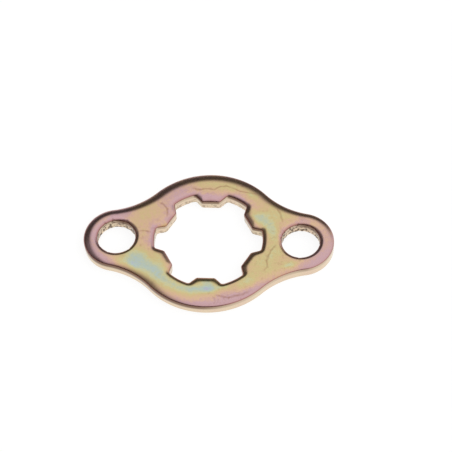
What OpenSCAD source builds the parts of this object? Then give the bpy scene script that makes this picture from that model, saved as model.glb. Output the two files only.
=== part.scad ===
// Sprocket lock washer: a blanked and pierced steel plate with a six-tooth splined opening.
// It slides over the splines of an output shaft, turns half a tooth into the groove behind
// them, and two bolts hold it to the sprocket. Lengths are in millimetres.
// The plate lies flat on z = 0, with the shaft axis on Z and the two bolts along X.

/* [Plate] */
// Thickness of the steel plate
plate_t = 2.6; // [1.8:0.1:4]
// Radius of the round middle of the plate
middle_r = 14.4; // [13.2:0.1:17]
// Radius of the rounded ear round each bolt hole
ear_r = 6.1; // [5.8:0.1:8]
// Radius of the hollow waist curve between the middle and an ear
waist_r = 14.8; // [6:0.2:30]

/* [Bolt holes] */
// Distance between the centres of the two bolt holes
bolt_pitch = 34; // [31.5:0.5:40]
// Diameter of each bolt hole, which clears its bolt
bolt_hole_d = 7; // [5:0.1:7.6]

/* [Splined opening] */
// Number of teeth that point inwards
tooth_count = 6; // [4:1:7]
// Diameter of the circle through the roots between the teeth
root_d = 20; // [19.4:0.1:21.6]
// Distance between two tooth tips that face each other
tip_d = 16.4; // [14.6:0.1:17.2]
// Width of a tooth at its flat tip
tooth_tip_w = 3.4; // [2.4:0.1:4.2]
// Width of a tooth where it leaves the root circle
tooth_base_w = 6; // [5.4:0.1:6.6]
// Radius of the two corners at a tooth's tip
tip_corner_r = 0.5; // [0.2:0.05:0.8]
// Radius of the corner between a tooth's flank and the root circle
root_corner_r = 0.6; // [0.2:0.05:0.8]

/* [Rolled edges of the top face] */
// Width of the rolled edge round the middle
middle_roll_w = 2.2; // [0.5:0.1:2.8]
// Depth of the rolled edge round the middle
middle_roll_h = 0.75; // [0.2:0.05:0.9]
// Width of the rolled edge round an ear
ear_roll_w = 1.6; // [0.4:0.05:1.7]
// Depth of the rolled edge round an ear
ear_roll_h = 0.65; // [0.2:0.05:0.9]
// Width of the rolled edge round a bolt hole
hole_roll_w = 0.9; // [0.2:0.05:0.95]
// Depth of the rolled edge round a bolt hole
hole_roll_h = 0.55; // [0.1:0.05:0.9]
// Width of the rolled edge over a tooth's tip
tip_roll_w = 1.35; // [0.4:0.05:1.5]
// Depth of the rolled edge over a tooth's tip
tip_roll_h = 0.75; // [0.2:0.05:1]
// Width of the rolled edge along the roots
root_roll_w = 1; // [0.2:0.05:1.2]
// Depth of the rolled edge along the roots
root_roll_h = 0.6; // [0.1:0.05:0.9]
// Width that a tooth loses to the rolled edges of its two flanks
flank_roll_w = 0.4; // [0.1:0.1:0.8]
// Radius of a tooth's corners where its flat top ends
crown_corner_r = 1.6; // [0.3:0.1:1.8]
// Radius of a rolled edge's round corner at its wall, as a share of the edge's depth
roll_corner = 0.25; // [0.1:0.05:0.5]

/* [Hidden] */

// Segments across a rolled edge
roll_steps = 6;
// Segments in the ear's, the waist's and the middle's part of a quarter of the outline
ear_steps = 14;
waist_steps = 7;
middle_steps = 12;
// Segments in a tooth's corner, and in the root between two teeth
corner_steps = 3;
root_steps = 5;
// Distance that a cutting shape runs past a face
past = 1;
// Segments in a full circle
$fn = 96;

ear_x = bolt_pitch / 2;
root_r = root_d / 2;
tip_r = tip_d / 2;
tooth_pitch = 360 / tooth_count;

// Centre of the waist curve, which touches the middle and the ear from outside
middle_reach = middle_r + waist_r;
ear_reach = ear_r + waist_r;
waist_x = (pow(middle_reach, 2) - pow(ear_reach, 2) + pow(ear_x, 2)) / (2 * ear_x);
waist_y = sqrt(pow(middle_reach, 2) - pow(waist_x, 2));
// Directions from the middle's centre and from the ear's to where the waist touches them
middle_turn = atan2(waist_y, waist_x);
ear_turn = atan2(waist_y, waist_x - ear_x);

// Shares of a rolled edge's width, from the wall to the flat face and closest at the wall
roll_shares = [for (i = [0:roll_steps]) 1 - cos(90 * i / roll_steps)];

// Depth below the flat face of a rolled edge w wide and h deep, at the distance s from its
// wall: a parabola that runs out into the flat face, and a small round corner at the wall
function drop(s, w, h) =
    let (r = min(roll_corner * h, w / 2), left = max(r - s, 0))
    (h - r) * pow(1 - s / w, 2) + r - sqrt(r * r - left * left);

// The same list from its end to its start
function reversed(list) = [for (i = [len(list) - 1:-1:0]) list[i]];

// Each point of an outline has a third number, the depth of the rolled edge there.
// Points along an arc about a centre, without its first point where skip is 1. Its radius
// grows evenly by grow, and its depth by deepen.
function arc(centre, depth, r, from, to, steps, skip = 0, grow = 0, deepen = 0) =
    [for (i = [skip:steps])
        let (part = i / steps, a = from + (to - from) * part, now_r = r + grow * part)
        [centre.x + now_r * cos(a), centre.y + now_r * sin(a), depth + deepen * part]];

// First quarter of the outline, moved inwards by one width at the ear and by another at the
// middle: ear, waist and middle keep their centres, and the waist goes evenly between the two
function quarter(ear_in, middle_in) = concat(
    arc([ear_x, 0], ear_roll_h, ear_r - ear_in, 0, ear_turn, ear_steps),
    arc([waist_x, waist_y], ear_roll_h, waist_r + ear_in, 180 + ear_turn, 180 + middle_turn,
        waist_steps, 1, middle_in - ear_in, middle_roll_h - ear_roll_h),
    arc([0, 0], middle_roll_h, middle_r - middle_in, middle_turn, 90, middle_steps, 1));

// Whole outline: each quarter is the one before it, mirrored
function outline(ear_in, middle_in) =
    let (q = quarter(ear_in, middle_in), last = len(q) - 1)
    [for (turn = [0:3], i = [0:last - 1])
        let (p = q[turn % 2 == 0 ? i : last - i])
        [turn == 1 || turn == 2 ? -p.x : p.x, turn >= 2 ? -p.y : p.y, p.z]];

// One side of a tooth that points inwards along X, from the middle of its tip to its root.
// The tip's corner is an arc about tip_c. The root's corner is an arc about root_c, which
// lies a corner radius off the flank and a corner radius inside the root circle.
function tooth_side(tip_r, tip_w, root_r, base_w, tip_corner, root_corner) =
    let (
        tip = [tip_r, tip_w / 2],
        base = [sqrt(pow(root_r, 2) - pow(base_w / 2, 2)), base_w / 2],
        along = (base - tip) / norm(base - tip),
        off = [-along.y, along.x],
        flank_turn = atan2(off.y, off.x),
        tip_c = tip + tip_corner * [1, (along.y - 1) / along.x],
        start = tip + root_corner * off,
        half = start * along,
        slide = sqrt(half * half - start * start + pow(root_r - root_corner, 2)) - half,
        root_c = start + slide * along,
        root_turn = atan2(root_c.y, root_c.x))
    concat(
        arc(tip_c, tip_roll_h, tip_corner, 180, flank_turn, corner_steps),
        arc(root_c, root_roll_h, root_corner, flank_turn - 180, root_turn, corner_steps));

// Outline of the splined opening: each tooth, then the arc to the next tooth's first root
function opening(tip_r, tip_w, root_r, base_w, tip_corner, root_corner) =
    let (
        side = tooth_side(tip_r, tip_w, root_r, base_w, tip_corner, root_corner),
        last = len(side) - 1,
        root_turn = atan2(side[last].y, side[last].x),
        root = arc([0, 0], root_roll_h, root_r, root_turn, tooth_pitch - root_turn, root_steps, 1),
        tooth = concat(
            [for (p = reversed(side)) [p.x, -p.y, p.z]],
            side,
            [for (i = [0:root_steps - 2]) root[i]]))
    [for (k = [0:tooth_count - 1], p = tooth)
        let (a = (k + 0.5) * tooth_pitch)
        [p.x * cos(a) - p.y * sin(a), p.x * sin(a) + p.y * cos(a), p.z]];

// The outline and the opening, each at its walls and where the flat top face begins
wall_outline = outline(0, 0);
face_outline = outline(ear_roll_w, middle_roll_w);
wall_opening = opening(tip_r, tooth_tip_w, root_r, tooth_base_w, tip_corner_r, root_corner_r);
face_opening = opening(tip_r + tip_roll_w, tooth_tip_w - flank_roll_w, root_r + root_roll_w,
    tooth_base_w - flank_roll_w, crown_corner_r, root_corner_r + root_roll_w);

// Ring of an outline's points at one height
function at(z, points) = [for (p = points) [p.x, p.y, z]];

// Rings of points over a rolled edge, from the top of its wall to the flat face
function rolled(wall, face) =
    [for (share = roll_shares)
        [for (i = [0:len(wall) - 1])
            let (
                p = wall[i] + (face[i] - wall[i]) * share,
                w = norm([face[i].x - wall[i].x, face[i].y - wall[i].y]))
            [p.x, p.y, plate_t - drop(w * share, w, wall[i].z)]]];

// Solid with a skin of triangles over rings that have the same number of points. A stack
// starts at its lowest ring, and its first and last rings close it. Where looped is true,
// the rings run once round a section instead, and the last is joined to the first.
module skin(rings, looped = false) {
    n = len(rings[0]);
    count = len(rings);
    first = [for (i = [0:n - 1]) i];
    ends = [first, [for (i = reversed(first)) (count - 1) * n + i]];
    strips = [for (k = [0:count - (looped ? 1 : 2)], i = [0:n - 1], half = [0, 1])
        let (
            a = k * n + i,
            b = k * n + (i + 1) % n,
            up = ((k + 1) % count - k) * n)
        half == 0 ? [a, a + up, b + up] : [a, b + up, b]];
    polyhedron(points = [for (ring = rings) each ring], faces = concat(looped ? [] : ends, strips));
}

// What the rolled edge round the outside takes off the blank
module rim_roll_cut() {
    outside = outline(-past, -past);
    high = plate_t + past;
    skin(concat(
        [[for (p = outside) [p.x, p.y, plate_t - p.z]], at(high, outside), at(high, face_outline)],
        reversed(rolled(wall_outline, face_outline))),
        looped = true);
}

// What the spline punch takes out, with the rolled edge that it drags down round itself
module spline_cut() {
    skin(concat(
        [at(-past, wall_opening)],
        rolled(wall_opening, face_opening),
        [at(plate_t + past, face_opening)]));
}

// What a bolt-hole punch takes out: a true bore, with a rolled edge above it
module bolt_hole_cut() {
    hole_r = bolt_hole_d / 2;
    rotate_extrude() polygon(concat(
        [[0, -past], [hole_r, -past]],
        [for (s = hole_roll_w * roll_shares)
            [hole_r + s, plate_t - drop(s, hole_roll_w, hole_roll_h)]],
        [[hole_r + hole_roll_w, plate_t + past], [0, plate_t + past]]));
}

module lock_washer() {
    color("#c6ab7d") difference() {
        linear_extrude(plate_t) polygon([for (p = wall_outline) [p.x, p.y]]);
        rim_roll_cut();
        spline_cut();
        for (side = [-1, 1]) translate([side * ear_x, 0, 0]) bolt_hole_cut();
    }
}

lock_washer();
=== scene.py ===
"""Looks of a sprocket lock washer: a pressed steel plate, zinc plated and yellow passivated.

Lengths are in millimetres until a mesh is written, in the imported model's own frame: the plate
lies flat on z = 0, with the shaft's axis on Z and the two bolts along X.
"""

import bpy
import numpy as np
from mathutils import Matrix, Vector, geometry


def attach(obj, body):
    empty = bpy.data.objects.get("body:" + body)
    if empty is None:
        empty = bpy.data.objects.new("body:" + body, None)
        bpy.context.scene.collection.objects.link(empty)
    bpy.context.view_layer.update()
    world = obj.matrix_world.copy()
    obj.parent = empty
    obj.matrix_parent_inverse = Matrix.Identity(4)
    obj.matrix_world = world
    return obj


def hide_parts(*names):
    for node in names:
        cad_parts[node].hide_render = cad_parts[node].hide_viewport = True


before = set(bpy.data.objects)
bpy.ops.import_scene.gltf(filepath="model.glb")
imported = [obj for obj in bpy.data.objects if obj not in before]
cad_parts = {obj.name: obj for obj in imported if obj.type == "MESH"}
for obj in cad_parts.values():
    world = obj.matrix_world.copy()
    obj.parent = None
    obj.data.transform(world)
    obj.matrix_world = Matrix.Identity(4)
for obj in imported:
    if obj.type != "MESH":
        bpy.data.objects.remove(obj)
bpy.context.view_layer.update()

# Lock washer plate
# One flat piece of 2.6 mm sheet steel. A press blanks its outline and pierces its splined
# opening and two bolt holes. The punches drag the top edges down into a smooth roll, cut the
# upper part of each wall bright and tear the lower part.
plate_t = 2.6
middle_r = 14.4
ear_r = 6.1
waist_r = 14.8
ear_x = 17.0
bolt_hole_r = 3.5
tooth_count = 6
# Metres in a millimetre
MM = 0.001
# Width and depth of the rolled edges, and the share of the depth that is the radius of their
# round corner at the wall
middle_roll = (2.15, 0.8)
ear_roll = (1.5, 0.65)
hole_roll = (0.85, 0.55)
corner_share = 0.25
# The blanking punch stood a little off centre: the outline's roll is this share wider, and this
# share deeper, for each millimetre to the left
wider_left = 0.004
deeper_left = 0.009
# Where the opening's walls stand, and where the flat top face begins: the radius at a tooth's tip
# and its width there, the radius of the root circle and the tooth's width there, and the radii
# of the corners at its tip and its root
opening_wall = (8.2, 3.4, 10.0, 6.0, 0.65, 0.6)
opening_face = (9.6, 2.0, 11.0, 5.4, 2.4, 1.6)
# Depth of the opening's rolled edge over a tooth's tip and along a root
tip_roll_h = 0.75
root_roll_h = 0.6
# How far up a wall its torn part reaches, as a share of the thickness, how deep it is torn, how
# strongly painted shadow specks show on it, from 0 to 1, and how far below the roll its painted
# dark brow fades out
rim_wall = (0.0, 0.0, 0.0, 0.85)
spline_wall = (0.4, 0.06, 0.45, 0.7)
hole_wall = (0.74, 0.09, 1.0, 1.1)
# Random waves of the line between a wall's cut and torn parts, and of the torn part's relief: the
# longest and the shortest along the wall, and the shortest up it. Then their number, and the seed
# of their random draws.
tear_waves = (8.0, 0.6, 1.0)
relief_waves = (1.5, 0.35, 1.2)
wave_count = 90
wave_seed = 11
# How far the line wanders, as a share of its height, and half the height over which it is blurred
tear_wander = 0.35
tear_blur = 0.12
# How deep the relief lies on average, which is also how far it swings either way, and how deep it
# lies at most, as shares of the torn part's depth
relief_mean = 0.6
relief_most = 1.4
# Distances between mesh points along an edge, and over the flat faces, whose points stay at least
# this share of a step off an edge
edge_step = 0.16
face_step = 0.34
face_gap = 0.6
# Mesh steps along half a tooth's tip, round one of its corners, along a flank and half a root
tip_steps = 8
bend_steps = 8
flank_steps = 12
root_steps = 18
# Mesh steps over a wall's bottom lip, up the wall, across a roll's corner and the rest of it
lip_steps = 3
wall_steps = 12
corner_steps = 7
fade_steps = 9
# Radius of the round lip at the foot of a wall
lip_r = 0.06
# A dark brown brow is painted where a wall meets its rolled edge: a painted dark reflection of
# the dim room. This brow is full over a share of its reach down the wall. On the roll it fades
# out between two sines of the tilt, as the wall's own colour does.
brow_full = 0.35
brow_on_roll = (0.78, 0.95)
wall_on_roll = (0.85, 1.0)
# The brow is painted lighter by a share where a wall faces the front right, as painted light
# from the lamp on that side: from the first to the second cosine of the angle between them
front_right_way = (0.707, -0.707)
painted_light_share = 0.7
painted_light_from = (0.6, 1.0)


def direction(turn):
    """Unit vectors at the given angles in radians: (cos turn, sin turn), one row each."""
    return np.stack([np.cos(turn), np.sin(turn)], axis=-1)


def arc(centre, radius, start, end, steps):
    """Points centre + radius (cos a, sin a) for a from start up to, but not at, end."""
    turn = np.linspace(start, end, steps, endpoint=False)
    return np.asarray(centre) + radius * direction(turn)


def line(start, end, steps):
    """Points start + (end - start) k / steps for k from 0 up to, but not at, steps."""
    part = np.arange(steps)[:, None] / steps
    return np.asarray(start) + (np.asarray(end) - start) * part


def rim_loop():
    """The outline, counter-clockwise: its wall points, how far in the flat face begins, and the
    depth of its rolled edge. In each quarter an ear's arc and the middle's arc are joined by a
    waist arc that touches both, so its centre lies ear_r + waist_r from the ear's centre and
    middle_r + waist_r from the middle's. The roll's width and depth follow the waist evenly
    between the ear's and the middle's. Each quarter is the one before it, mirrored. Then the
    width and the depth are multiplied by 1 - lean x, with a lean for each."""
    waist_x = ((middle_r + waist_r) ** 2 - (ear_r + waist_r) ** 2 + ear_x ** 2) / (2 * ear_x)
    waist_y = np.sqrt((middle_r + waist_r) ** 2 - waist_x ** 2)
    ear_turn = np.arctan2(waist_y, waist_x - ear_x)
    middle_turn = np.arctan2(waist_y, waist_x)
    arcs = (
        ((ear_x, 0.0), ear_r, 0.0, ear_turn, 1),
        ((waist_x, waist_y), waist_r, np.pi + ear_turn, np.pi + middle_turn, -1),
        ((0.0, 0.0), middle_r, middle_turn, np.pi / 2, 1),
    )
    walls = []
    inwards = []
    for centre, radius, start, end, side in arcs:
        steps = int(np.ceil(radius * abs(end - start) / edge_step))
        walls.append(arc(centre, radius, start, end, steps))
        inwards.append((centre - walls[-1]) / radius * side)
    ear_count, waist_count, middle_count = [len(points) for points in walls]
    blend = np.concatenate([
        np.zeros(ear_count),
        np.arange(waist_count) / waist_count,
        np.ones(middle_count + 1),
    ])
    top = np.array([[0.0, middle_r]])
    wall = np.concatenate(walls + [top])
    width = ear_roll[0] + (middle_roll[0] - ear_roll[0]) * blend
    depth = ear_roll[1] + (middle_roll[1] - ear_roll[1]) * blend
    reach = np.concatenate(inwards + [-top / middle_r]) * width[:, None]
    for mirror, stop in (((-1, 1), None), ((1, -1), 0)):
        back = slice(-2, stop, -1)
        wall = np.concatenate([wall, wall[back] * mirror])
        reach = np.concatenate([reach, reach[back] * mirror])
        depth = np.concatenate([depth, depth[back]])
    wider = 1 - wider_left * wall[:, 0]
    deeper = 1 - deeper_left * wall[:, 0]
    return wall, reach * wider[:, None], depth * deeper


def opening_ring(tip_r, tip_w, root_r, base_w, tip_corner, root_corner):
    """The splined opening, clockwise, and how far each point lies towards a root, from 0 to 1.
    Half a tooth that points inwards along X is its flat tip, an arc, its flank, an arc and half
    the root. The tip's arc touches tip and flank; the root's arc lies root_corner off the flank
    and root_corner inside the root circle. Mirrored pairs make the whole opening."""
    tip = np.array([tip_r, tip_w / 2])
    base = np.array([np.sqrt(root_r ** 2 - (base_w / 2) ** 2), base_w / 2])
    along = (base - tip) / np.linalg.norm(base - tip)
    off = np.array([-along[1], along[0]])
    flank_turn = np.arctan2(off[1], off[0])
    tip_c = tip + tip_corner * np.array([1.0, (along[1] - 1) / along[0]])
    start = tip + root_corner * off
    half = start @ along
    slide = np.sqrt(half ** 2 - start @ start + (root_r - root_corner) ** 2) - half
    root_c = start + slide * along
    root_turn = np.arctan2(root_c[1], root_c[0])
    half_pitch = np.pi / tooth_count
    parts = [
        line((tip_r, 0.0), (tip_r, tip_c[1]), tip_steps),
        arc(tip_c, tip_corner, np.pi, flank_turn, bend_steps),
        line(tip_c + tip_corner * direction(flank_turn), root_c - root_corner * off, flank_steps),
        arc(root_c, root_corner, flank_turn - np.pi, root_turn, bend_steps),
        arc((0.0, 0.0), root_r, root_turn, half_pitch, root_steps),
        root_r * direction(np.array([half_pitch])),
    ]
    share = np.concatenate([
        np.zeros(tip_steps + bend_steps),
        np.arange(flank_steps) / flank_steps,
        np.ones(bend_steps + root_steps + 1),
    ])
    half_tooth = np.concatenate(parts)
    tooth = np.concatenate([half_tooth[:0:-1] * (1, -1), half_tooth[:-1]])
    share = np.concatenate([share[:0:-1], share[:-1]])
    turns = (2 * np.arange(tooth_count) + 1) * half_pitch
    cos, sin = direction(turns).T[:, :, None]
    x, y = tooth.T
    ring = np.stack([x * cos - y * sin, x * sin + y * cos], axis=-1).reshape(-1, 2)
    return ring[::-1], np.tile(share, tooth_count)[::-1]


def spline_loop():
    """The opening as rim_loop gives the outline: the flat face begins at a softer outline."""
    wall, share = opening_ring(*opening_wall)
    face, share = opening_ring(*opening_face)
    return wall, face - wall, tip_roll_h + (root_roll_h - tip_roll_h) * share


def hole_loop(x):
    """A bolt hole, clockwise, as rim_loop gives the outline: a circle about (x, 0)."""
    steps = int(2 * np.pi * bolt_hole_r / edge_step)
    out = direction(np.linspace(2 * np.pi, 0, steps, endpoint=False))
    return (x, 0.0) + bolt_hole_r * out, hole_roll[0] * out, np.full(steps, hole_roll[1])


def ragged(around, height, waves, rng):
    """Random relief between about -1 and 1 over a wall, which closes round its loop: half the sum
    of cosines cos(2 pi (k s / L + m z + p)) times sqrt(2 / their number). k is the whole number
    of waves in the loop's length L, from the longest to the shortest, m is up to 1 / the
    shortest wave up the wall, and p is a random phase."""
    longest, shortest, tall = waves
    length = around[-1] + edge_step
    wave = np.exp(rng.uniform(np.log(shortest), np.log(longest), wave_count))
    count = np.round(length / wave)
    rise = rng.uniform(-1, 1, wave_count) / tall
    phase = rng.uniform(0, 1, wave_count)
    turns = count * around[None, :, None] / length + rise * height[:, :, None] + phase
    return np.cos(2 * np.pi * turns).sum(axis=-1) * np.sqrt(2 / wave_count) / 2


def smooth(low, high, value):
    """0 up to low, 1 from high, and 3 t^2 - 2 t^3 between them."""
    t = np.clip((value - low) / (high - low), 0, 1)
    return t * t * (3 - 2 * t)


def roll(out, width, depth):
    """How far a rolled edge, w wide and h deep, lies below the flat face at a distance s from its
    wall, and the sine of its tilt there: an arc R - sqrt(R^2 - (w - s)^2) that meets the face
    without a bend and falls h - r, and, within r of the wall, a round corner that falls r, by
    r - sqrt(r^2 - (r - s)^2). At the wall the corner is upright, and a floor under its root keeps
    the slope finite."""
    root_floor = 1e-9
    corner_r = corner_share * depth
    fall = depth - corner_r
    arc_r = (width ** 2 + fall ** 2) / (2 * fall)
    beyond = np.sqrt(arc_r ** 2 - (width - out) ** 2)
    left = np.clip(corner_r - out, 0, None)
    across = np.sqrt(np.clip(corner_r ** 2 - left ** 2, root_floor, None))
    dropped = arc_r - beyond + corner_r - across
    slope = (width - out) / beyond + left / across
    return dropped, slope / np.sqrt(1 + slope ** 2)


def edge_rings(loop, wall_look, rng):
    """One edge as rings of points from the bottom face to the top face, and its shares: the sine
    of a roll's tilt, where it is wall, where it takes the brow of painted dark reflection, and
    where it is torn, times its share of painted shadow specks. The section is a small round lip
    below, a wall, and the rolled edge above. Below a ragged line the wall is torn back into the
    metal, by its torn depth times a share that follows the relief."""
    wall, reach, depth = loop
    torn_share, torn_depth, pit_shadow_share, brow_reach = wall_look
    step = np.roll(wall, -1, axis=0) - np.roll(wall, 1, axis=0)
    inwards = np.stack([-step[:, 1], step[:, 0]], axis=-1)
    inwards /= np.linalg.norm(inwards, axis=1)[:, None]
    around = np.concatenate([[0.0], np.cumsum(np.linalg.norm(np.diff(wall, axis=0), axis=1))])
    lip = np.linspace(0, np.pi / 2, lip_steps, endpoint=False)[:, None]
    rise = np.linspace(0, 1, wall_steps, endpoint=False)[:, None]
    width = np.linalg.norm(reach, axis=1)
    corner_r = corner_share * depth
    turn = np.linspace(0, np.pi / 2, corner_steps, endpoint=False)[:, None]
    fade = corner_r + (width - corner_r) * np.linspace(0, 1, fade_steps + 1)[:, None]
    out = np.concatenate([corner_r * (1 - np.cos(turn)), fade])
    dropped, tilt = roll(out, width, depth)
    # Below the roll, a point isn't carried in over the metal, and has no tilt
    below = np.zeros((lip_steps + wall_steps, len(width)))
    height = np.concatenate([
        lip_r * (1 - np.cos(lip)) + below[:lip_steps],
        lip_r + (plate_t - depth - lip_r) * rise,
        plate_t - dropped,
    ])
    wander = tear_wander * ragged(around, 0 * height, tear_waves, rng)
    tear_z = torn_share * plate_t * (1 + wander)
    torn = smooth(tear_blur, -tear_blur, height - tear_z) if torn_depth > 0 else 0 * height
    relief = ragged(around, height, relief_waves, rng)
    inset = torn * torn_depth * np.clip(relief_mean + relief_mean * relief, 0, relief_most)
    inset[:lip_steps] += lip_r * (1 - np.sin(lip))
    carried = np.concatenate([below, out / width])
    points = wall + reach * carried[..., None] + inwards * inset[..., None]
    rolled = np.concatenate([below, tilt])
    walled = np.concatenate([below + 1, smooth(*wall_on_roll, tilt)])
    # The brow is a painted dark reflection: full just below the roll, fading out down the wall
    down = plate_t - depth - height[:len(below)]
    brow_reflection = smooth(brow_reach, brow_full * brow_reach, down)
    brow_reflection = np.concatenate([brow_reflection, smooth(*brow_on_roll, tilt)])
    # Painted light: the brow is lighter where the wall faces the lamp at the front right
    brow_reflection *= 1 - painted_light_share * smooth(*painted_light_from, -inwards @ front_right_way)
    return (np.concatenate([points, height[..., None]], axis=-1),
            np.stack([rolled, walled, brow_reflection, torn * pit_shadow_share], axis=-1))


def inside(points, rings):
    """Whether each point lies in the sheet: a line from it along +X crosses the rings an odd
    number of times. Such a line never crosses a level side, whose rise is set to 1 only to keep
    0 out of the division."""
    x, y = points.T[:, :, None]
    start = np.concatenate(rings)
    end = np.concatenate([np.roll(ring, -1, axis=0) for ring in rings])
    between = (start[:, 1] > y) != (end[:, 1] > y)
    rise = np.where(end[:, 1] == start[:, 1], 1.0, end[:, 1] - start[:, 1])
    cross = start[:, 0] + (y - start[:, 1]) * (end[:, 0] - start[:, 0]) / rise
    return (between & (cross > x)).sum(axis=1) % 2 == 1


def flat_face(rings):
    """A flat face between its rings: rows of points face_step apart, every second row moved by
    half a step and the rows sqrt(3/4) of a step apart, joined with the rings' points into
    near-equal triangles. It gives the points inside the rings and the triangles, which count the
    rings' points first."""
    border = np.concatenate(rings)
    low = border.min(axis=0)
    high = border.max(axis=0)
    rows = np.arange(low[1], high[1], face_step * np.sqrt(0.75))
    columns = np.arange(low[0], high[0], face_step)
    grid = np.stack(np.meshgrid(columns, rows), axis=-1)
    grid[1::2, :, 0] += face_step / 2
    grid = grid.reshape(-1, 2)
    grid = grid[inside(grid, rings)]
    nearest = np.sqrt(((grid[:, None, :] - border[None, :, :]) ** 2).sum(axis=-1).min(axis=1))
    grid = grid[nearest > face_gap * face_step]
    points = np.concatenate([border, grid])
    starts = np.cumsum([0] + [len(ring) for ring in rings])
    sides = [np.stack([np.arange(a, b), np.append(np.arange(a + 1, b), a)], axis=-1)
             for a, b in zip(starts[:-1], starts[1:])]
    sides = np.concatenate(sides).tolist()
    # It keeps the rings' sides, gives triangles alone, and joins points that lie this close
    triangles_only = 1
    joined_within = 1e-7
    result = geometry.delaunay_2d_cdt(points.tolist(), sides, [], triangles_only, joined_within,
                                      False)
    corners = np.array(result[2])
    return grid, corners[inside(points[corners].mean(axis=1), rings)]


def plate_mesh(name):
    """The whole plate as one closed mesh: four edges as rings of quads, and two flat faces, of
    which the bottom one's triangles run the other way round, so that they face down. It gives the
    mesh, its points in millimetres, and their shares as edge_rings gives them."""
    rng = np.random.default_rng(wave_seed)
    edges = [
        edge_rings(rim_loop(), rim_wall, rng),
        edge_rings(spline_loop(), spline_wall, rng),
        edge_rings(hole_loop(-ear_x), hole_wall, rng),
        edge_rings(hole_loop(ear_x), hole_wall, rng),
    ]
    points = []
    shares = []
    quads = []
    bottom_rows = []
    top_rows = []
    first = 0
    for rings, share in edges:
        levels, count = rings.shape[:2]
        index = first + np.arange(levels * count).reshape(levels, count)
        across = np.roll(index, -1, axis=1)
        corners = np.stack([index[:-1], across[:-1], across[1:], index[1:]], axis=-1)
        quads.append(corners.reshape(-1, 4))
        bottom_rows.append(index[0])
        top_rows.append(index[-1])
        points.append(rings.reshape(-1, 3))
        shares.append(share.reshape(-1, 4))
        first += levels * count
    triangles = []
    for rows, level, height, order in ((top_rows, -1, plate_t, 1), (bottom_rows, 0, 0.0, -1)):
        grid, corners = flat_face([rings[level, :, :2] for rings, share in edges])
        index = np.concatenate(rows + [first + np.arange(len(grid))])
        triangles.append(index[corners][:, ::order])
        points.append(np.column_stack([grid, np.full(len(grid), height)]))
        shares.append(np.zeros((len(grid), 4)))
        first += len(grid)
    points = np.concatenate(points)
    shares = np.concatenate(shares)
    quads = np.concatenate(quads)
    triangles = np.concatenate(triangles)
    mesh = bpy.data.meshes.new(name)
    mesh.vertices.add(len(points))
    mesh.vertices.foreach_set("co", (points * MM).ravel())
    mesh.loops.add(quads.size + triangles.size)
    mesh.loops.foreach_set("vertex_index", np.concatenate([quads.ravel(), triangles.ravel()]))
    mesh.polygons.add(len(quads) + len(triangles))
    sizes = np.repeat([4, 3], [len(quads), len(triangles)])
    mesh.polygons.foreach_set("loop_start", np.cumsum(sizes) - sizes)
    mesh.update(calc_edges=True)
    mesh.validate()
    return mesh, points, shares


mesh, points, shares = plate_mesh("lock_washer_plate")
plate = bpy.data.objects.new("lock_washer_plate", mesh)
bpy.context.scene.collection.objects.link(plate)
mesh.shade_smooth()

# The plate's finish is zinc plate with yellow passivate, a clear film less than a thousandth of a
# millimetre thick. Its interference colours run, as it gets thicker, from mauve through peach,
# gold, olive and green to pale blue. It pools and dries unevenly, so each patch is a place where
# it is thicker or thinner. The film's thickness is given as a share of its greatest.
film_base = 0.28
# Each patch: x and y of its middle, half its length and width, its turn in degrees, its change
film_patches = np.array([
    (-12.7, -5.1, 3.1, 2.1, -40, 0.56),
    (-9.0, -7.6, 2.6, 1.9, -48, 0.50),
    (-5.3, -10.4, 2.8, 1.3, -25, 0.38),
    (-1.8, -11.0, 2.2, 0.9, 0, 0.48),
    (0.7, -10.8, 1.3, 0.9, 0, 0.50),
    (3.2, -10.4, 1.6, 0.7, 10, 0.30),
    (0.2, -9.3, 2.0, 0.8, 0, 0.34),
    (10.2, 4.1, 2.3, 1.4, -40, 0.38),
    (11.8, 1.6, 1.9, 1.0, -80, 0.34),
    (8.8, 4.8, 1.3, 0.9, -40, 0.26),
    (15.3, -5.4, 1.3, 0.6, 15, 0.36),
    (-13.4, -6.1, 1.5, 0.5, -35, 0.22),
    (-8.3, 2.5, 1.3, 0.5, 10, 0.30),
    (-12.2, 5.4, 2.6, 1.6, 30, 0.12),
    (-0.8, 12.0, 3.6, 0.7, 2, 0.18),
    (3.0, 11.2, 2.2, 0.9, -8, 0.24),
    (7.8, 9.5, 1.8, 0.6, -40, 0.24),
    (12.6, 5.4, 2.6, 1.3, -40, 0.22),
    (15.0, 4.9, 1.4, 0.6, -20, 0.20),
    (12.6, -2.0, 2.0, 1.6, 80, 0.24),
    (10.9, -5.4, 3.0, 2.4, -60, 0.24),
    (7.4, -9.0, 2.6, 1.4, 40, 0.28),
    (-8.8, -4.5, 1.6, 0.6, -50, 0.20),
    (-15.8, -5.4, 1.6, 0.8, -15, 0.16),
    (-6.0, 9.6, 3.6, 1.7, 35, -0.24),
    (-7.6, 6.6, 1.4, 1.2, 60, -0.10),
    (0.0, 8.8, 2.8, 1.1, 0, -0.28),
    (5.4, 9.0, 2.6, 0.8, -35, -0.18),
    (-16.6, 4.6, 3.2, 1.2, 12, -0.30),
    (-21.2, -0.2, 1.4, 4.0, 0, -0.28),
    (-19.2, -4.8, 2.2, 1.2, -28, -0.26),
    (-10.3, 0.6, 1.1, 3.0, 0, -0.26),
    (-8.0, 4.4, 1.4, 1.2, 0, -0.14),
    (17.2, 4.4, 2.6, 0.7, -5, -0.18),
    (21.4, 0.4, 1.4, 3.2, 0, -0.12),
    (20.2, -4.0, 3.4, 1.5, 45, -0.26),
    (13.4, 0.6, 0.6, 2.2, 0, -0.16),
    (4.8, -12.2, 3.2, 1.3, 14, -0.26),
    (-0.4, -13.9, 4.0, 0.5, 0, -0.22),
    (-5.0, -13.2, 2.6, 0.6, -16, -0.12),
    (9.2, -10.7, 3.0, 0.9, 38, -0.22),
])
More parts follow.
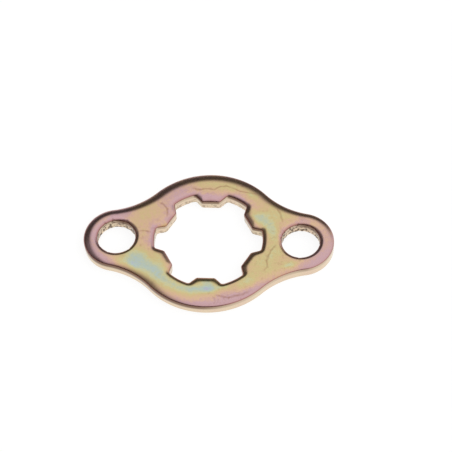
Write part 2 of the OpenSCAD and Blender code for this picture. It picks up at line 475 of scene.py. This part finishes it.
# Tide lines, left where rinse water dried: x and y of points along each, joined straight
tide_lines = (
    ((-3.3, 11.6), (-3.5, 10.9), (-2.6, 10.5), (-1.0, 10.8), (0.6, 10.7), (1.6, 11.3),
     (2.8, 11.6), (4.0, 11.1), (5.4, 10.4), (7.0, 10.1), (8.8, 9.8)),
    ((-10.0, 7.7), (-8.7, 7.1), (-7.9, 6.0), (-7.9, 4.0)),
    ((12.0, 7.2), (13.1, 5.6), (13.7, 3.4)),
    ((12.8, -0.8), (11.5, -2.6), (10.9, -4.6), (11.3, -6.0), (10.1, -7.0)),
    ((-13.4, 1.0), (-11.9, 1.2), (-10.3, 1.0)),
    ((1.6, -12.2), (4.4, -12.5), (6.6, -11.9), (8.6, -10.8)),
)
# The length over which a tide line fades out at each end
tide_fade = 1.2
# How much thinner the film is on the steepest part of a rolled edge
thinner_on_rolls = 0.3


def film_at(x, y):
    """Thickness of the film: its base, plus each patch's change times exp(-(u/a)^2 - (v/b)^2),
    where u and v run along and across the patch."""
    film = np.full(len(x), film_base)
    for patch_x, patch_y, length, width, turn, change in film_patches:
        c, s = direction(np.radians(turn))
        u = ((x - patch_x) * c + (y - patch_y) * s) / length
        v = ((y - patch_y) * c - (x - patch_x) * s) / width
        film += change * np.exp(-u ** 2 - v ** 2)
    return film


def tide_at(x, y):
    """Signed distance to the nearest tide line, and how far it shows there, from 0 to 1. The
    nearest point of a straight part lies a share t of the way along it, with t the dot product
    of the part and the way from its start, over its squared length, held from 0 to 1. The sign
    is the side of the part. A line fades out over its first and last tide_fade."""
    place = np.stack([x, y], axis=-1)
    nearest = np.full(len(x), np.inf)
    shown = np.zeros(len(x))
    for points in tide_lines:
        points = np.array(points)
        parts = np.diff(points, axis=0)
        lengths = np.linalg.norm(parts, axis=1)
        gone = np.concatenate([[0.0], np.cumsum(lengths)])
        for start, part, length, before in zip(points, parts, lengths, gone):
            t = np.clip((place - start) @ part / length ** 2, 0, 1)
            apart = place - start - t[:, None] * part
            side = np.sign(part[0] * apart[:, 1] - part[1] * apart[:, 0])
            distance = np.linalg.norm(apart, axis=1)
            along = before + t * length
            show = smooth(0, tide_fade, along) * smooth(0, tide_fade, gone[-1] - along)
            nearer = distance < np.abs(nearest)
            nearest = np.where(nearer, distance * side, nearest)
            shown = np.where(nearer, show, shown)
    return nearest, shown


# What the finish follows from point to point. Tide lines show on the upper side alone.
rolled, walled, brow_reflection, torn = shares.T
tide, tide_shown = tide_at(points[:, 0], points[:, 1])
finish_values = {
    "film": film_at(points[:, 0], points[:, 1]) - thinner_on_rolls * rolled,
    "tide": tide,
    "tide_shown": tide_shown * (points[:, 2] > plate_t / 2),
    "rolled": rolled,
    "walled": walled,
    "brow_reflection": brow_reflection,
    "torn": torn,
}
for name, value in finish_values.items():
    layer = mesh.attributes.new(name, "FLOAT", "POINT")
    layer.data.foreach_set("value", value.astype(np.float32))

# Colours of the film as it gets thicker, at shares of its greatest thickness
film_colours = (
    (0.00, "#cba7ab"),
    (0.12, "#d1ab9f"),
    (0.24, "#dab698"),
    (0.36, "#d6ba8f"),
    (0.50, "#d2c18c"),
    (0.62, "#cec99c"),
    (0.75, "#c0c6ac"),
    (0.86, "#b8c6ba"),
    (0.93, "#b4c1c5"),
    (1.00, "#bbb4c5"),
)
# The redder, darker tint of the rolled edges, partly painted shade, the brown of the brow, a
# painted dark reflection, the brown of tide lines and stains, the two creams of the walls, and
# the dark of the painted shadow specks
roll_tint_and_shade = "#deb9ad"
brow_reflection_colour = "#6b4c3a"
tide_colour = "#94654b"
wall_colours = ("#e4d5b2", "#e3c6b2")
pit_shadow_colour = "#47342a"
# How strongly the painted dark brow, the tide lines, the rinse stains and the painted shadow
# specks show
brow_reflection_strength = 0.88
tide_strength = 0.8
stain_strength = 0.22
pit_shadow_strength = 0.85
# Sizes of the film's clouds and flecks, and how much they change its thickness
cloud_mm = 3.0
fleck_mm = 0.6
cloud_change = 0.26
fleck_change = 0.55
# A tide line's half width, how far it wanders either way, and the length of that wandering
tide_half_width = 0.32
tide_wander = 0.3
wander_mm = 1.1
# Rinse stains are small flecks that stand together in some places. Stains and places show between
# two values of their noise.
stain_mm = 0.7
stain_place_mm = 5.0
stain_from = (0.55, 0.7)
stain_place_from = (0.45, 0.65)
# The rolled edges' redder, darker tint, partly painted shade, comes in between two sines of
# their tilt
tint_and_shade_from = (0.3, 0.9)
# The walls' two creams lie in clouds, and the painted shadow specks in the torn metal's pits
# show between two values of their noise
wall_cloud_mm = 2.0
pit_shadow_mm = 0.55
pit_shadow_from = (0.46, 0.58)
# The zinc's roughness where it is smoothest, the size of its clouds and how much they add, and how
# much the torn metal and the steepest roll add
zinc_rough = 0.13
rough_mm = 0.5
rough_change = 0.08
torn_rough = 0.2
rolled_rough = 0.12
# The plated zinc's crystals are a few thousandths of a millimetre across. They are drawn coarser,
# so that their satin shows: their size, their depth and how strongly they show.
grain_mm = 0.11
grain_deep_mm = 0.02
grain_strength = 0.15


def linear(colour):
    """The linear colour of an sRGB hex value, with an alpha of 1. A share v becomes v / 12.92 up
    to 0.04045, and ((v + 0.055) / 1.055)^2.4 above it."""
    share = np.array([int(colour[k:k + 2], 16) for k in (1, 3, 5)]) / 255
    low = share / 12.92
    high = ((share + 0.055) / 1.055) ** 2.4
    return tuple(np.where(share <= 0.04045, low, high)) + (1.0,)


def add(tree, kind, settings, inputs):
    """Adds a node, sets its settings, and fills its inputs. An input is a plain value, or a link
    to an output, or to the first output that another node has in use."""
    node = tree.nodes.new(kind)
    for name, value in settings.items():
        setattr(node, name, value)
    for name, value in inputs.items():
        if isinstance(value, bpy.types.Node):
            value = next(output for output in value.outputs if output.enabled)
        if isinstance(value, bpy.types.NodeSocket):
            tree.links.new(value, node.inputs[name])
        else:
            node.inputs[name].default_value = value
    return node


def passivated_zinc():
    """Zinc plate with yellow passivate: a thin clear film over bright electroplated zinc, which
    gives the eye soft rainbow colours and cream on the cut walls. Along the rolled edges it is
    painted redder and darker, partly the film's tint and partly painted shade, and the brown brow
    there is a painted dark reflection."""
    material = bpy.data.materials.new("yellow_passivated_zinc_plate")
    material.use_nodes = True
    tree = material.node_tree
    place = add(tree, "ShaderNodeTexCoord", {}, {})
    mm = add(tree, "ShaderNodeVectorMath", {"operation": "SCALE"},
             {0: place.outputs["Object"], "Scale": 1 / MM})
    share = {name: add(tree, "ShaderNodeAttribute", {"attribute_name": name}, {}).outputs["Fac"]
             for name in finish_values}

    # Clouds and flecks shift the film's thickness about its even value
    cloud = add(tree, "ShaderNodeTexNoise", {},
                {"Vector": mm, "Scale": 1 / cloud_mm, "Detail": 3.0})
    cloud = add(tree, "ShaderNodeMath", {"operation": "MULTIPLY_ADD"},
                {0: cloud, 1: cloud_change, 2: -cloud_change / 2})
    fleck = add(tree, "ShaderNodeTexNoise", {},
                {"Vector": mm, "Scale": 1 / fleck_mm, "Detail": 5.0, "Roughness": 0.7})
    fleck = add(tree, "ShaderNodeMath", {"operation": "MULTIPLY_ADD"},
                {0: fleck, 1: fleck_change, 2: -fleck_change / 2})
    film = add(tree, "ShaderNodeMath", {"operation": "ADD"}, {0: share["film"], 1: cloud})
    film = add(tree, "ShaderNodeMath", {"operation": "ADD"}, {0: film, 1: fleck})
    colour = add(tree, "ShaderNodeValToRGB", {}, {"Fac": film})
    elements = colour.color_ramp.elements
    while len(elements) < len(film_colours):
        elements.new(0.5)
    for element, (position, hue) in zip(elements, film_colours):
        element.position = position
        element.color = linear(hue)

    # Tide lines, which show more and less along their way, and rinse stains
    stain = add(tree, "ShaderNodeTexNoise", {},
                {"Vector": mm, "Scale": 1 / stain_mm, "Detail": 3.0})
    wander = add(tree, "ShaderNodeTexNoise", {},
                 {"Vector": mm, "Scale": 1 / wander_mm, "Detail": 3.0})
    wander = add(tree, "ShaderNodeMath", {"operation": "MULTIPLY_ADD"},
                 {0: wander, 1: 2 * tide_wander, 2: -tide_wander})
    tide_off = add(tree, "ShaderNodeMath", {"operation": "ADD"}, {0: share["tide"], 1: wander})
    tide_off = add(tree, "ShaderNodeMath", {"operation": "ABSOLUTE"}, {0: tide_off})
    tide_line = add(tree, "ShaderNodeMapRange", {"interpolation_type": "SMOOTHSTEP"},
                    {"Value": tide_off, "From Min": tide_half_width, "From Max": 0.0,
                     "To Max": tide_strength})
    tide_line = add(tree, "ShaderNodeMath", {"operation": "MULTIPLY"},
                    {0: tide_line, 1: share["tide_shown"]})
    tide_line = add(tree, "ShaderNodeMath", {"operation": "MULTIPLY"}, {0: tide_line, 1: stain})
    colour = add(tree, "ShaderNodeMix", {"data_type": "RGBA"},
                 {"Factor": tide_line, "A": colour, "B": linear(tide_colour)})
    stain_place = add(tree, "ShaderNodeTexNoise", {}, {"Vector": mm, "Scale": 1 / stain_place_mm})
    stain_place = add(tree, "ShaderNodeMapRange", {"interpolation_type": "SMOOTHSTEP"},
                      {"Value": stain_place, "From Min": stain_place_from[0],
                       "From Max": stain_place_from[1], "To Max": stain_strength})
    stained = add(tree, "ShaderNodeMapRange", {"interpolation_type": "SMOOTHSTEP"},
                  {"Value": stain, "From Min": stain_from[0], "From Max": stain_from[1]})
    stained = add(tree, "ShaderNodeMath", {"operation": "MULTIPLY"}, {0: stained, 1: stain_place})
    colour = add(tree, "ShaderNodeMix", {"data_type": "RGBA"},
                 {"Factor": stained, "A": colour, "B": linear(tide_colour)})

    # The steep parts of the rolled edges are painted redder and darker: partly the film's own
    # tint, partly painted shade
    steep_tint_and_shade = add(tree, "ShaderNodeMapRange", {"interpolation_type": "SMOOTHSTEP"},
                {"Value": share["rolled"], "From Min": tint_and_shade_from[0],
                 "From Max": tint_and_shade_from[1]})
    colour = add(tree, "ShaderNodeMix", {"data_type": "RGBA", "blend_type": "MULTIPLY"},
                 {"Factor": steep_tint_and_shade, "A": colour, "B": linear(roll_tint_and_shade)})

    # Cut walls are cream, and torn metal gets dark specks of painted shadow in its pits
    blend = add(tree, "ShaderNodeTexNoise", {},
                {"Vector": mm, "Scale": 1 / wall_cloud_mm, "Detail": 3.0})
    wall = add(tree, "ShaderNodeMix", {"data_type": "RGBA"},
               {"Factor": blend, "A": linear(wall_colours[0]), "B": linear(wall_colours[1])})
    pit_shadow = add(tree, "ShaderNodeTexNoise", {},
                {"Vector": mm, "Scale": 1 / pit_shadow_mm, "Detail": 4.0})
    pit_shadow = add(tree, "ShaderNodeMapRange", {"interpolation_type": "SMOOTHSTEP"},
                {"Value": pit_shadow, "From Min": pit_shadow_from[0], "From Max": pit_shadow_from[1],
                 "To Max": pit_shadow_strength})
    pit_shadow = add(tree, "ShaderNodeMath", {"operation": "MULTIPLY"}, {0: pit_shadow, 1: share["torn"]})
    wall = add(tree, "ShaderNodeMix", {"data_type": "RGBA"},
               {"Factor": pit_shadow, "A": wall, "B": linear(pit_shadow_colour)})
    colour = add(tree, "ShaderNodeMix", {"data_type": "RGBA"},
                 {"Factor": share["walled"], "A": colour, "B": wall})
    # The brow, a painted dark reflection where a wall meets its rolled edge
    brow_reflection = add(tree, "ShaderNodeMath", {"operation": "MULTIPLY"},
               {0: share["brow_reflection"], 1: brow_reflection_strength})
    colour = add(tree, "ShaderNodeMix", {"data_type": "RGBA"},
                 {"Factor": brow_reflection, "A": colour, "B": linear(brow_reflection_colour)})

    # Bright zinc is a little cloudy, and rougher where the metal is torn or stretched
    rough = add(tree, "ShaderNodeTexNoise", {},
                {"Vector": mm, "Scale": 1 / rough_mm, "Detail": 3.0})
    rough = add(tree, "ShaderNodeMath", {"operation": "MULTIPLY_ADD"},
                {0: rough, 1: rough_change, 2: zinc_rough})
    rough = add(tree, "ShaderNodeMath", {"operation": "MULTIPLY_ADD"},
                {0: share["torn"], 1: torn_rough, 2: rough})
    rough = add(tree, "ShaderNodeMath", {"operation": "MULTIPLY_ADD"},
                {0: share["rolled"], 1: rolled_rough, 2: rough})
    grain = add(tree, "ShaderNodeTexNoise", {},
                {"Vector": mm, "Scale": 1 / grain_mm, "Detail": 4.0})
    grain = add(tree, "ShaderNodeBump", {},
                {"Strength": grain_strength, "Distance": grain_deep_mm * MM, "Height": grain})
    zinc = add(tree, "ShaderNodeBsdfPrincipled", {},
               {"Base Color": colour, "Metallic": 1.0, "Roughness": rough, "Normal": grain})
    tree.nodes.remove(tree.nodes["Principled BSDF"])
    tree.links.new(zinc.outputs[0], tree.nodes["Material Output"].inputs["Surface"])
    return material


mesh.materials.append(passivated_zinc())
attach(plate, "root")
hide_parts("lock_washer")

# Card
# The plate lies loose on a sheet of matt white card, which is larger than the picture shows.
card_colour = "#e6e6e6"
# Half the card's side, and its height, a hair below the plate
card_half = 1500.0
card_z = -0.01
# What the camera and reflections see: a share of the light that falls on the card, and a glow
card_shade = 0.25
card_glow = 0.86


def card_material():
    """Matt white card. To the camera and in reflections it is a clean white that keeps a faint
    shadow; to everything else it is plain white card."""
    material = bpy.data.materials.new("matt_white_card")
    material.use_nodes = True
    tree = material.node_tree
    tree.nodes.remove(tree.nodes["Principled BSDF"])
    path = add(tree, "ShaderNodeLightPath", {}, {})
    seen = add(tree, "ShaderNodeMath", {"operation": "ADD", "use_clamp": True},
               {0: path.outputs["Is Camera Ray"], 1: path.outputs["Is Glossy Ray"]})
    seen = add(tree, "ShaderNodeMath", {"operation": "ADD", "use_clamp": True},
               {0: seen, 1: path.outputs["Is Transmission Ray"]})
    white = add(tree, "ShaderNodeBsdfDiffuse", {}, {"Color": linear(card_colour)})
    shade = add(tree, "ShaderNodeBsdfDiffuse", {},
                {"Color": (card_shade, card_shade, card_shade, 1)})
    glow = add(tree, "ShaderNodeEmission", {}, {"Color": (1, 1, 1, 1), "Strength": card_glow})
    faint = add(tree, "ShaderNodeAddShader", {}, {0: shade, 1: glow})
    both = add(tree, "ShaderNodeMixShader", {}, {0: seen, 1: white, 2: faint})
    tree.links.new(both.outputs[0], tree.nodes["Material Output"].inputs["Surface"])
    return material


card_mesh = bpy.data.meshes.new("white_card")
card_corners = np.array([(-1, -1), (1, -1), (1, 1), (-1, 1)]) * card_half
card_points = [(x * MM, y * MM, card_z * MM) for x, y in card_corners]
card_mesh.from_pydata(card_points, [], [(0, 1, 2, 3)])
card_mesh.materials.append(card_material())
card = bpy.data.objects.new("white_card", card_mesh)
bpy.context.scene.collection.objects.link(card)

# Studio
# Broad soft light stands overhead and to the right. Behind, to the left and low in front the
# room is almost dark, which draws the rolled edges.
room_colour = (0.07, 0.065, 0.06, 1)
# Each soft light: the way to its middle, the angles from there in degrees at which it starts and
# is full, and its brightness. The last is a pale ring round the horizon, which gets brighter away
# from straight up.
soft_lights = (
    ((0.271, -0.012, 0.962), 59.0, 37.0, 1.0),
    ((0.993, -0.122, 0.0), 75.5, 51.7, 0.95),
    ((-0.65, 0.08, 0.755), 30.0, 8.0, 0.15),
    ((0.0, 0.0, 1.0), 69.5, 88.3, 0.2),
)


def studio_world():
    """A dark room with soft round lights: each is a smooth step, in the cosine of the angle from
    its middle, from none where it starts to its brightness where it is full, and the brightest
    counts. Past the card's edge the camera sees plain white, but the metal mirrors the room, whose
    dark sides draw the bands along its rolled edges."""
    world = bpy.data.worlds.new("studio")
    world.use_nodes = True
    sky = world.node_tree
    toward = add(sky, "ShaderNodeTexCoord", {}, {}).outputs["Generated"]
    unit = add(sky, "ShaderNodeVectorMath", {"operation": "NORMALIZE"}, {0: toward})
    lit = 0.0
    for middle, starts, full, brightness in soft_lights:
        cosine = add(sky, "ShaderNodeVectorMath", {"operation": "DOT_PRODUCT"},
                     {0: unit, 1: Vector(middle).normalized()})
        light = add(sky, "ShaderNodeMapRange", {"interpolation_type": "SMOOTHSTEP"},
                    {"Value": cosine, "From Min": np.cos(np.radians(starts)),
                     "From Max": np.cos(np.radians(full)), "To Max": brightness})
        lit = add(sky, "ShaderNodeMath", {"operation": "MAXIMUM"}, {0: lit, 1: light})
    room = add(sky, "ShaderNodeMix", {"data_type": "RGBA"},
               {"Factor": lit, "A": room_colour, "B": (1, 1, 1, 1)})
    ray = add(sky, "ShaderNodeLightPath", {}, {})
    seen = add(sky, "ShaderNodeMath", {"operation": "ADD", "use_clamp": True},
               {0: ray.outputs["Is Camera Ray"], 1: ray.outputs["Is Transmission Ray"]})
    shown = add(sky, "ShaderNodeMix", {"data_type": "RGBA"},
                {"Factor": seen, "A": room, "B": (1, 1, 1, 1)})
    sky.links.new(shown.outputs["Result"], sky.nodes["Background"].inputs["Color"])
    return world


bpy.context.scene.world = studio_world()
bpy.context.scene.view_settings.view_transform = "Standard"

# Camera
# It looks down on the plate at 57 degrees, from a little to the right of the bolt line's
# middle, about a third of a metre away, with a long lens.
# How far it stands round to the right, how steeply it looks down and how far it is rolled
view_turn, view_rise, view_roll = np.radians([6.548, 57.291, -4.184])
# How far it stands from the point that it looks at, that point, and its focal length
view_distance = 342.66
view_target = Vector((2.955, 4.306, 0.0))
view_lens = 146.69
level = Vector((np.cos(view_turn), np.sin(view_turn), 0.0))
ahead = Vector((-np.sin(view_turn), np.cos(view_turn), 0.0))
back = Vector((0.0, 0.0, np.sin(view_rise))) - ahead * np.cos(view_rise)
upward = back.cross(level)
across = level * np.cos(view_roll) + upward * np.sin(view_roll)
upright = upward * np.cos(view_roll) - level * np.sin(view_roll)
camera_data = bpy.data.cameras.new("camera")
camera_data.lens = view_lens
camera_data.sensor_width = 36.0
camera_data.clip_start = 0.01
camera = bpy.data.objects.new("camera", camera_data)
axes = Matrix((across, upright, back)).transposed().to_4x4()
camera.matrix_world = Matrix.Translation((view_target + back * view_distance) * MM) @ axes
bpy.context.scene.collection.objects.link(camera)
bpy.context.scene.camera = camera
